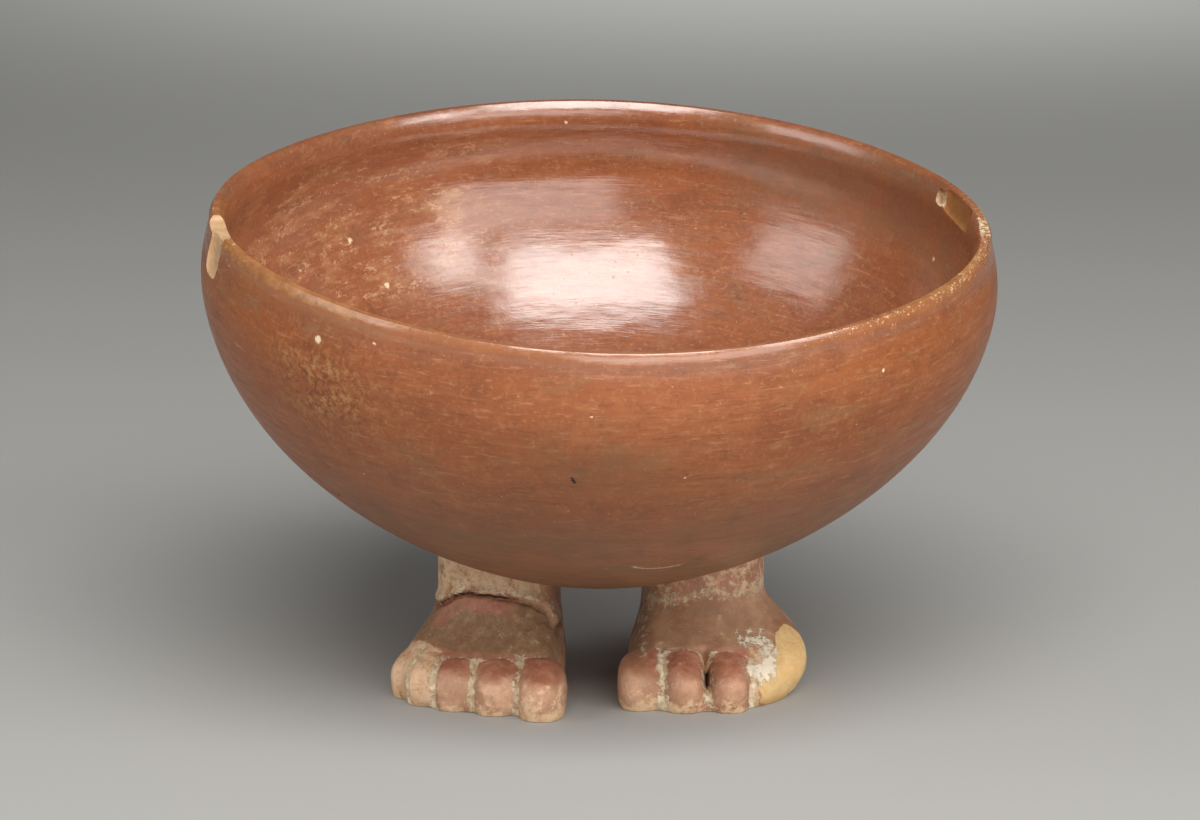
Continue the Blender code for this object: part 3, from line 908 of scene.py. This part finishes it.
# Materials
class Nodes:
    """Short words for building a material's nodes."""

    def __init__(self, material):
        material.use_nodes = True
        self.tree = material.node_tree
        self.tree.nodes.clear()

    def node(self, kind, settings=None, **inputs):
        """The outputs of a new node. Inputs go by name, or by number as i0, i1 and so on."""
        made = self.tree.nodes.new("ShaderNode" + kind)
        for key, value in (settings or {}).items():
            setattr(made, key, value)
        for key, value in inputs.items():
            numbered = key[0] == "i" and key[1:].isdigit()
            socket = made.inputs[int(key[1:]) if numbered else key.replace("_", " ")]
            if isinstance(value, bpy.types.NodeSocket):
                self.tree.links.new(value, socket)
            else:
                socket.default_value = (*value, 1.0) if socket.type == "RGBA" else value
        return made.outputs

    def place(self):
        return self.node("TexCoord")["Object"]

    def mark(self, name, output="Fac"):
        return self.node("Attribute", {"attribute_name": name})[output]

    def axes(self, vector):
        return self.node("SeparateXYZ", i0=vector)

    def stretched(self, vector, scale, rotation=(0.0, 0.0, 0.0)):
        return self.node("Mapping", Vector=vector, Scale=scale, Rotation=rotation)["Vector"]

    def noise(self, vector, scale, detail, rough=0.55, distortion=0.0, output="Fac"):
        return self.node(
            "TexNoise", Vector=vector, Scale=scale, Detail=detail, Roughness=rough, Distortion=distortion
        )[output]

    def ramp(self, value, low, high, to_low=0.0, to_high=1.0):
        return self.node(
            "MapRange", {"interpolation_type": "SMOOTHSTEP", "clamp": True},
            Value=value, From_Min=low, From_Max=high, To_Min=to_low, To_Max=to_high,
        )["Result"]

    def math(self, operation, *values, clamp=False):
        inputs = {f"i{i}": value for i, value in enumerate(values)}
        return self.node("Math", {"operation": operation, "use_clamp": clamp}, **inputs)[0]

    def vector_math(self, operation, **inputs):
        return self.node("VectorMath", {"operation": operation}, **inputs)

    def chain(self, operation, values):
        total = values[0]
        for value in values[1:]:
            total = self.math(operation, total, value)
        return total

    def most(self, *values):
        return self.chain("MAXIMUM", values)

    def times(self, *values):
        return self.chain("MULTIPLY", values)

    def plus(self, *values):
        return self.chain("ADD", values)

    def raised(self, base, value, height):
        """base with value times height on top."""
        return self.math("MULTIPLY_ADD", value, height, base)

    def mix(self, share, a, b, blend="MIX"):
        settings = {"data_type": "RGBA", "blend_type": blend, "clamp_factor": True}
        return self.node("Mix", settings, i0=share, i6=a, i7=b)[2]

    def between(self, value, low, high, a, b):
        """One colour where value is low, the other where it is high."""
        return self.mix(self.ramp(value, low, high), a, b)

    def tinted(self, colour, *rows):
        """The colour with tints over it: value, where it starts and is full, its share and the tint."""
        for value, low, high, share, tint in rows:
            colour = self.mix(self.ramp(value, low, high, 0.0, share), colour, tint)
        return colour

    def layered(self, colour, *rows):
        """The colour with layers over it: where each is, its strength and its tint."""
        for share, strength, tint in rows:
            colour = self.mix(self.times(share, strength), colour, tint)
        return colour

    def frayed(self, mark, noise, reach, low, high, share=1.0):
        """Where a mark is, with edges that noise breaks up."""
        broken_up = self.math("MULTIPLY_ADD", noise, reach, -reach / 2)
        return self.ramp(self.plus(self.mark(mark), broken_up), low, high, 0.0, share)

    def warped(self, place, scale, reach):
        """Places pushed about by noise, so that what is drawn there gets ragged edges."""
        push = self.noise(place, scale, 2.0, 0.7, output="Color")
        pushed = self.vector_math("MULTIPLY_ADD", i0=push, i1=(reach,) * 3, i2=place)["Vector"]
        return self.vector_math("SUBTRACT", i0=pushed, i1=(reach / 2,) * 3)["Vector"]

    def distance(self, place, centre):
        return self.vector_math("DISTANCE", i0=place, i1=centre)["Value"]

    def spot(self, place, centre, size, soft=0.35):
        """1 at a place, 0 past its size."""
        return self.ramp(self.distance(place, centre), size * (1.0 - soft), size * (1.0 + soft), 1.0, 0.0)

    def shade(self, color, roughness, ior, height, distance):
        normal = self.node("Bump", Strength=1.0, Distance=distance, Height=height)["Normal"]
        shader = self.node("BsdfPrincipled", Base_Color=color, Roughness=roughness, IOR=ior, Normal=normal)
        self.node("OutputMaterial", Surface=shader["BSDF"])


def on_wall(turn, depth, inner=False):
    """A place on the wall in the frame, from its angle in degrees and its depth below the lip."""
    line = np.array(wall_offset(1.0) if inner else outer_wall())
    reach = float(np.interp(depth, -line[:, 1], line[:, 0]))
    angle = math.radians(turn)
    here = hand_shaped(np.array([[reach * math.cos(angle), reach * math.sin(angle), -depth]]))[0]
    return tuple(FRAME_SHIFT @ BOWL_PLACE @ Vector(here))


def ring_middle(a, b, c):
    """The middle of the circle through three places."""
    along, aside = b - a, c - a
    across = along.cross(aside)
    towards = (across.cross(along) * aside.length_squared + aside.cross(across) * along.length_squared)
    return a + towards / (2.0 * across.length_squared)


def white_marks(n, place):
    """The larger white spots and the curved scratch low on the front, with ragged edges."""
    ragged = n.warped(place, 900.0, 0.0011)
    spots = n.most(*(
        n.spot(ragged, on_wall(turn, depth, within), size) for turn, depth, within, size in WHITE_SPOTS
    ))
    start, middle, end = (Vector(on_wall(turn, depth)) for turn, depth in SCRATCH)
    hub = ring_middle(start, middle, end)
    away = n.math("ABSOLUTE", n.math("SUBTRACT", n.distance(ragged, tuple(hub)), (start - hub).length))
    along = n.spot(place, tuple(middle), (start - end).length / 2, 0.15)
    return n.most(spots, n.times(n.ramp(away, 0.00010, 0.00030, 1.0, 0.0), along, 0.7))


def foot_colours(n, place, fleck_noise, grain_noise):
    """The feet's colour, and where they are rough and where something lies on them."""
    rough_tone = n.noise(place, 420.0, 4.5, 0.68)
    chalk = n.noise(place, 620.0, 5.0, 0.76)
    blotch = n.noise(place, 160.0, 3.0, 0.6)
    colour = n.between(blotch, 0.36, 0.64, (0.43, 0.195, 0.1), (0.64, 0.35, 0.2))
    rosy = n.between(rough_tone, 0.38, 0.62, (0.4, 0.132, 0.075), (0.62, 0.25, 0.155))
    colour = n.mix(n.frayed("red", blotch, 1.1, 0.15, 0.95, 0.85), colour, rosy)
    smoky = n.between(chalk, 0.38, 0.62, (0.29, 0.152, 0.076), (0.43, 0.262, 0.14))
    colour = n.mix(n.frayed("smoke", rough_tone, 1.2, 0.05, 0.95, 0.90), colour, smoky)
    colour = n.tinted(
        colour,
        (rough_tone, 0.58, 0.74, 0.38, (0.74, 0.49, 0.31)),
        (rough_tone, 0.42, 0.28, 0.35, (0.33, 0.145, 0.072)),
    )
    bare = n.frayed("bare", chalk, 2.4, 0.30, 0.68)
    bare_colour = n.between(chalk, 0.36, 0.62, (0.76, 0.41, 0.2), (0.95, 0.69, 0.44))
    bare_colour = n.tinted(bare_colour, (blotch, 0.35, 0.65, 0.45, (0.76, 0.56, 0.34)))
    colour = n.mix(n.times(bare, 0.90), colour, bare_colour)
    # Painted highlight on the toes' fronts
    toe_highlight_share = n.times(n.mark("painted_toe_highlight"), n.ramp(n.plus(chalk, blotch), 0.85, 1.20, 0.25, 0.75))
    colour = n.mix(toe_highlight_share, colour, (0.9, 0.58, 0.38))
    ochre = n.frayed("ochre", rough_tone, 0.5, 0.38, 0.60)
    colour = n.mix(ochre, colour, n.between(rough_tone, 0.35, 0.68, (0.84, 0.52, 0.21), (0.93, 0.66, 0.32)))
    crust = n.frayed("crust", fleck_noise, 2.2, 0.36, 0.62)
    crust_colour = n.between(grain_noise, 0.40, 0.62, (0.74, 0.56, 0.34), (0.99, 0.87, 0.64))
    colour = n.mix(n.times(crust, 0.86), colour, crust_colour)
    plaster = n.frayed("plaster", fleck_noise, 2.6, 0.34, 0.60)
    colour = n.mix(plaster, colour, (0.97, 0.86, 0.66))
    return colour, chalk, n.most(crust, bare, ochre, plaster), n.plus(crust, plaster)


def slip_material(material):
    n = Nodes(material)
    place = n.place()
    run = n.mark("burnish", "Vector")
    inner, glossy, foot = n.mark("inside"), n.mark("glossy"), n.mark("foot")
    run_axes = n.axes(run)
    run_height = run_axes["Z"]

    def strokes(around, down, detail, rough, distortion=0.0, slant=(0.0, 0.0, 0.0)):
        """Noise drawn out round the bowl."""
        return n.noise(n.stretched(run, (around, around, down), slant), 1.0, detail, rough, distortion)

    # Slow clouds of tone in the fired slip, darker towards the bottom; then the outer flanks, partly painted
    # light, and painted shade deep inside
    cloud = n.noise(place, 26.0, 3.0, 0.5, 0.4)
    patch = n.noise(n.stretched(run, (1.1, 1.1, 4.5)), 1.6, 4.0, 0.6, 0.5)
    colour = n.between(cloud, 0.34, 0.66, (0.29, 0.092, 0.037), (0.352, 0.113, 0.045))
    colour = n.tinted(colour, (patch, 0.50, 0.78, 0.60, (0.42, 0.142, 0.048)))
    dark_patch = n.times(n.ramp(patch, 0.46, 0.24), n.ramp(inner, 0.0, 1.0, 0.35, 0.60))
    colour = n.mix(dark_patch, colour, (0.225, 0.072, 0.03))
    colour = n.tinted(colour, (run_height, 1.10, 0.30, 0.55, (0.215, 0.072, 0.031)))
    # Partly the outer flanks' own more orange slip, partly painted light: the left and right flanks are a
    # deeper, less blue orange to cancel the grey sheen that grazing light leaves there
    flank_sheen_offset = n.ramp(n.math("ABSOLUTE", run_axes["X"]), 0.40, 0.95, 0.0, 0.60)
    colour = n.mix(n.times(flank_sheen_offset, n.math("SUBTRACT", 1.0, inner)), colour, (0.33, 0.088, 0.014))
    # Painted shade: deep inside, where the main light's bright reflection falls, the slip is made about a
    # tenth darker so that the reflection reads whiter
    deeper = n.times(inner, n.ramp(run_height, 1.42, 1.02))
    colour = n.mix(deeper, colour, (0.9, 0.9, 0.94), "MULTIPLY")

    # Tan patches, mottling and grit in the clay, and the strokes of the polishing stone
    tan_patch = strokes(5.0, 15.0, 4.0, 0.65, 0.6)
    mottle = n.noise(place, 240.0, 4.5, 0.66, 0.3)
    grit = n.noise(place, 1250.0, 3.0, 0.72)
    broad = strokes(3.4, 34.0, 3.0, 0.62, 0.35)
    fine = strokes(14.0, 190.0, 2.0, 0.6, 0.25)
    stroke = strokes(15.0, 105.0, 4.0, 0.68, 0.45)
    colour = n.tinted(
        colour,
        (tan_patch, 0.52, 0.70, 0.62, (0.305, 0.14, 0.062)),
        (tan_patch, 0.46, 0.30, 0.35, (0.24, 0.072, 0.032)),
        (mottle, 0.54, 0.70, 0.45, (0.18, 0.062, 0.028)),
        (mottle, 0.46, 0.30, 0.42, (0.44, 0.168, 0.068)),
        (grit, 0.55, 0.72, 0.40, (0.54, 0.27, 0.13)),
        (grit, 0.45, 0.30, 0.40, (0.165, 0.058, 0.026)),
        (broad, 0.54, 0.78, 0.42, (0.19, 0.066, 0.03)),
        (broad, 0.46, 0.24, 0.38, (0.44, 0.165, 0.07)),
        (fine, 0.54, 0.76, 0.45, (0.175, 0.064, 0.032)),
        (stroke, 0.56, 0.72, 0.58, (0.52, 0.25, 0.115)),
        (stroke, 0.43, 0.30, 0.40, (0.165, 0.06, 0.028)),
    )

    # Grey-brown from the fire and from handling
    uneven = n.ramp(n.plus(n.noise(place, 120.0, 3.5, 0.62), stroke), 0.80, 1.20, 0.25, 1.0)
    smoked = n.math("MULTIPLY", n.mark("smoke"), uneven, clamp=True)
    colour = n.mix(smoked, colour, (0.198, 0.106, 0.052))

    # Worn and scratched places
    scuff_noise = strokes(17.0, 60.0, 4.0, 0.66, slant=(0.14, 0.05, 0.0))
    flaky = strokes(60.0, 110.0, 3.5, 0.75, slant=(0.16, 0.0, 0.0))
    scuff_patch = strokes(7.0, 15.0, 4.0, 0.70, slant=(0.25, 0.0, 0.0))
    smear = strokes(8.0, 30.0, 4.0, 0.62, slant=(0.1, 0.0, 0.0))
    rubbed = n.times(n.ramp(smear, 0.44, 0.60), n.ramp(scuff_patch, 0.42, 0.56), n.mark("scuff"))
    scuff_grain = n.ramp(n.raised(n.times(scuff_noise, 0.55), flaky, 0.75), 0.665, 0.775)
    scuff = n.times(scuff_grain, n.ramp(scuff_patch, 0.43, 0.56), n.mark("scuff"))
    faint = n.times(n.ramp(strokes(18.0, 75.0, 4.0, 0.78, 0.8), 0.57, 0.70), n.ramp(scuff_patch, 0.48, 0.64))
    grain_noise = n.noise(place, 950.0, 3.0, 0.7)
    grain_patch = n.noise(place, 210.0, 3.0, 0.6)
    grains = n.times(n.ramp(grain_noise, 0.50, 0.60), n.ramp(grain_patch, 0.36, 0.56), n.mark("grains"))
    dark_grain = n.times(n.ramp(grain_noise, 0.48, 0.38), n.mark("grains"))

    # Small pale and dark specks all over
    speck_noise = n.noise(n.warped(place, 1600.0, 0.0008), 1200.0, 2.5, 0.6)
    speck_patch = n.noise(place, 75.0, 2.0, 0.5)
    pale = n.times(n.ramp(speck_noise, 0.705, 0.755), n.ramp(speck_patch, 0.40, 0.60, 0.35, 1.0))
    pit = n.ramp(speck_noise, 0.240, 0.200)
    colour = n.layered(
        colour,
        (rubbed, 0.52, (0.5, 0.245, 0.11)),
        (scuff, 0.66, (0.6, 0.345, 0.185)),
        (faint, 0.48, (0.56, 0.32, 0.17)),
        (grains, 0.70, (0.52, 0.31, 0.13)),
        (dark_grain, 0.65, (0.11, 0.045, 0.02)),
        (pale, 0.70, (0.7, 0.45, 0.25)),
    )
    colour = n.mix(pit, colour, (0.06, 0.026, 0.014))

    # The worn lip, and painted light on it: a sheen just under it on the outside, and glints in its flecks
    lip_noise = n.noise(place, 420.0, 3.5, 0.7)
    wear = n.frayed("wear", lip_noise, 0.7, 0.22, 0.56)
    worn_colour = n.between(lip_noise, 0.36, 0.64, (0.31, 0.116, 0.025), (0.48, 0.2, 0.056))
    fleck_noise = n.noise(place, 900.0, 4.0, 0.75)
    tiny = n.noise(place, 1700.0, 3.0, 0.75)
    # Flecks: pale crusty specks, brightened so that they also serve as painted glints
    flecks = n.ramp(n.raised(tiny, n.mark("flecks"), 0.20), 0.755, 0.815)
    colour = n.layered(
        colour,
        (n.mark("painted_lip_sheen"), 0.42, (0.455, 0.185, 0.078)),
        (wear, 0.74, worn_colour),
        (flecks, 0.85, (0.86, 0.6, 0.3)),
    )

    # Single marks, then the feet
    colour = n.mix(white_marks(n, place), colour, (0.82, 0.64, 0.42))
    dots = n.most(*(n.spot(place, on_wall(turn, depth), size) for turn, depth, size in DARK_DOTS))
    colour = n.mix(dots, colour, (0.022, 0.012, 0.008))
    foot_colour, chalk, covered, layer = foot_colours(n, place, fleck_noise, grain_noise)
    colour = n.mix(foot, colour, foot_colour)
    # Painted shade in the ankle's crack, on the left leg's inner side and in the right foot's toe slit
    colour = n.between(n.mark("painted_shade"), 0.25, 0.75, colour, (0.02, 0.014, 0.01))

    # Gloss: best inside, broken by strokes, dull where worn
    gloss = n.plus(
        n.ramp(n.plus(broad, fine), 0.75, 1.25, 0.13, 0.23), n.ramp(glossy, 0.0, 1.0, 0.17, 0.0),
        n.ramp(grit, 0.40, 0.65, 0.0, 0.06),
    )
    foot_dull = n.times(foot, n.ramp(n.mark("red"), 0.2, 0.8, 0.36, 0.0))
    dull = n.most(
        n.times(scuff, 0.35), n.times(wear, 0.4), flecks, grains, foot_dull, n.times(smoked, 0.25),
        n.times(foot, covered, n.ramp(chalk, 0.4, 0.6, 0.75, 1.0)),
    )
    roughness = n.math("ADD", gloss, n.times(dull, 0.36), clamp=True)
    ior = n.plus(n.ramp(glossy, 0.0, 1.0, 1.34, 1.95), n.times(foot, 0.24))

    # Relief: strokes, hollows under the stone, scratches and pits
    relief = n.raised(n.times(broad, 0.42), fine, 0.16)
    relief = n.plus(relief, n.times(strokes(4.0, 9.0, 2.0, 0.5), 2.4))
    for value, height in (
        (pale, -0.5), (n.most(pit, dots), -1.6), (n.plus(n.times(scuff, 0.25), grains), -0.30),
        (n.times(wear, lip_noise), 0.8), (grit, 0.10),
    ):
        relief = n.raised(relief, value, height)
    foot_relief = n.raised(n.times(layer, 1.1), chalk, 3.2)
    relief = n.plus(relief, n.times(foot_relief, foot))
    n.shade(colour, roughness, ior, relief, SLIP_RELIEF)


def broken_material(material):
    n = Nodes(material)
    place = n.place()
    side = n.axes(place)
    tone = n.noise(place, 700.0, 5.0, 0.65)
    pale = n.between(tone, 0.35, 0.68, (0.5, 0.3, 0.15), (0.62, 0.4, 0.225))
    ochre = n.between(tone, 0.35, 0.68, (0.27, 0.108, 0.026), (0.35, 0.15, 0.042))
    # The breaks on the left are pale and those on the right a darker ochre: partly the clay's own colour
    # there, partly painted shade
    colour = n.between(side["X"], -0.01, 0.01, pale, ochre)
    notch = n.spot(n.warped(place, 900.0, 0.0014), on_wall(20.3, 0.0028, True), 0.0017)
    nick = n.times(
        n.ramp(n.noise(place, 1300.0, 3.0, 0.7), 0.44, 0.58), n.ramp(side["X"], 0.050, 0.060),
        n.ramp(side["Y"], 0.0072, 0.0052),
    )
    colour = n.mix(n.times(n.most(notch, nick), 0.85), colour, (0.8, 0.66, 0.46))
    n.shade(colour, 0.62, 1.5, tone, BREAK_RELIEF)


slip_material(slip)
broken_material(broken)

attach(piece, "root")
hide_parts("footed_bowl")

# Floor, light and camera
floor_mesh = bpy.data.meshes.new("floor")
corners = [(x * FLOOR_HALF, y * FLOOR_HALF, 0.0) for x, y in ((-1, -1), (1, -1), (1, 1), (-1, 1))]
floor_mesh.from_pydata(corners, [], [(0, 1, 2, 3)])
floor = add_object("floor", floor_mesh)
floor.location.z = -FLOOR_SINK
floor_material = bpy.data.materials.new("pale_paper")
floor_nodes = Nodes(floor_material)
floor_grain = floor_nodes.noise(floor_nodes.place(), 900.0, 2.0)
floor_nodes.shade(FLOOR_COLOUR, 0.85, 1.4, floor_grain, FLOOR_RELIEF)
floor_mesh.materials.append(floor_material)


def area_light(name, azimuth, elevation, distance, size, radiance):
    """A soft light that faces the bowl, at degrees to the right of straight ahead and above level."""
    data = bpy.data.lights.new(name, "AREA")
    data.shape = "RECTANGLE"
    data.size, data.size_y = size
    data.color = LIGHT_COLOUR
    data.energy = radiance * math.pi * size[0] * size[1]
    made = add_object(name, data)
    a, e = math.radians(azimuth), math.radians(elevation)
    out = Vector((math.sin(a) * math.cos(e), -math.cos(a) * math.cos(e), math.sin(e)))
    made.location = LIGHT_AIM + out * distance
    made.rotation_euler = out.to_track_quat("Z", "Y").to_euler()


for light in LIGHTS:
    area_light(*light)
spot = bpy.data.lights.new("backdrop_light", "SPOT")
spot.energy = BACKDROP_POWER
spot.spot_size = BACKDROP_SPREAD
spot.spot_blend = 1.0
spot.shadow_soft_size = BACKDROP_SOFTNESS
backdrop_light = add_object("backdrop_light", spot)
backdrop_light.location = BACKDROP_PLACE
backdrop_light.rotation_euler = (BACKDROP_TILT, 0.0, 0.0)
world = bpy.data.worlds.new("room")
bpy.context.scene.world = world
world.use_nodes = True
background = world.node_tree.nodes["Background"].inputs
background["Color"].default_value = (1.0, 1.0, 1.0, 1.0)
background["Strength"].default_value = ROOM_LIGHT

camera_data = bpy.data.cameras.new("camera")
camera_data.lens = CAMERA_LENS
camera_data.sensor_width = CAMERA_SENSOR
camera_data.sensor_fit = "HORIZONTAL"
camera_data.clip_start = CAMERA_NEAR
camera = add_object("camera", camera_data)
offset = Vector((0.0, -math.cos(CAMERA_PITCH), math.sin(CAMERA_PITCH))) * CAMERA_DISTANCE
camera.location = CAMERA_TARGET + offset
camera.rotation_euler = offset.to_track_quat("Z", "Y").to_euler()
bpy.context.scene.camera = camera
bpy.context.scene.view_settings.view_transform = "Standard"
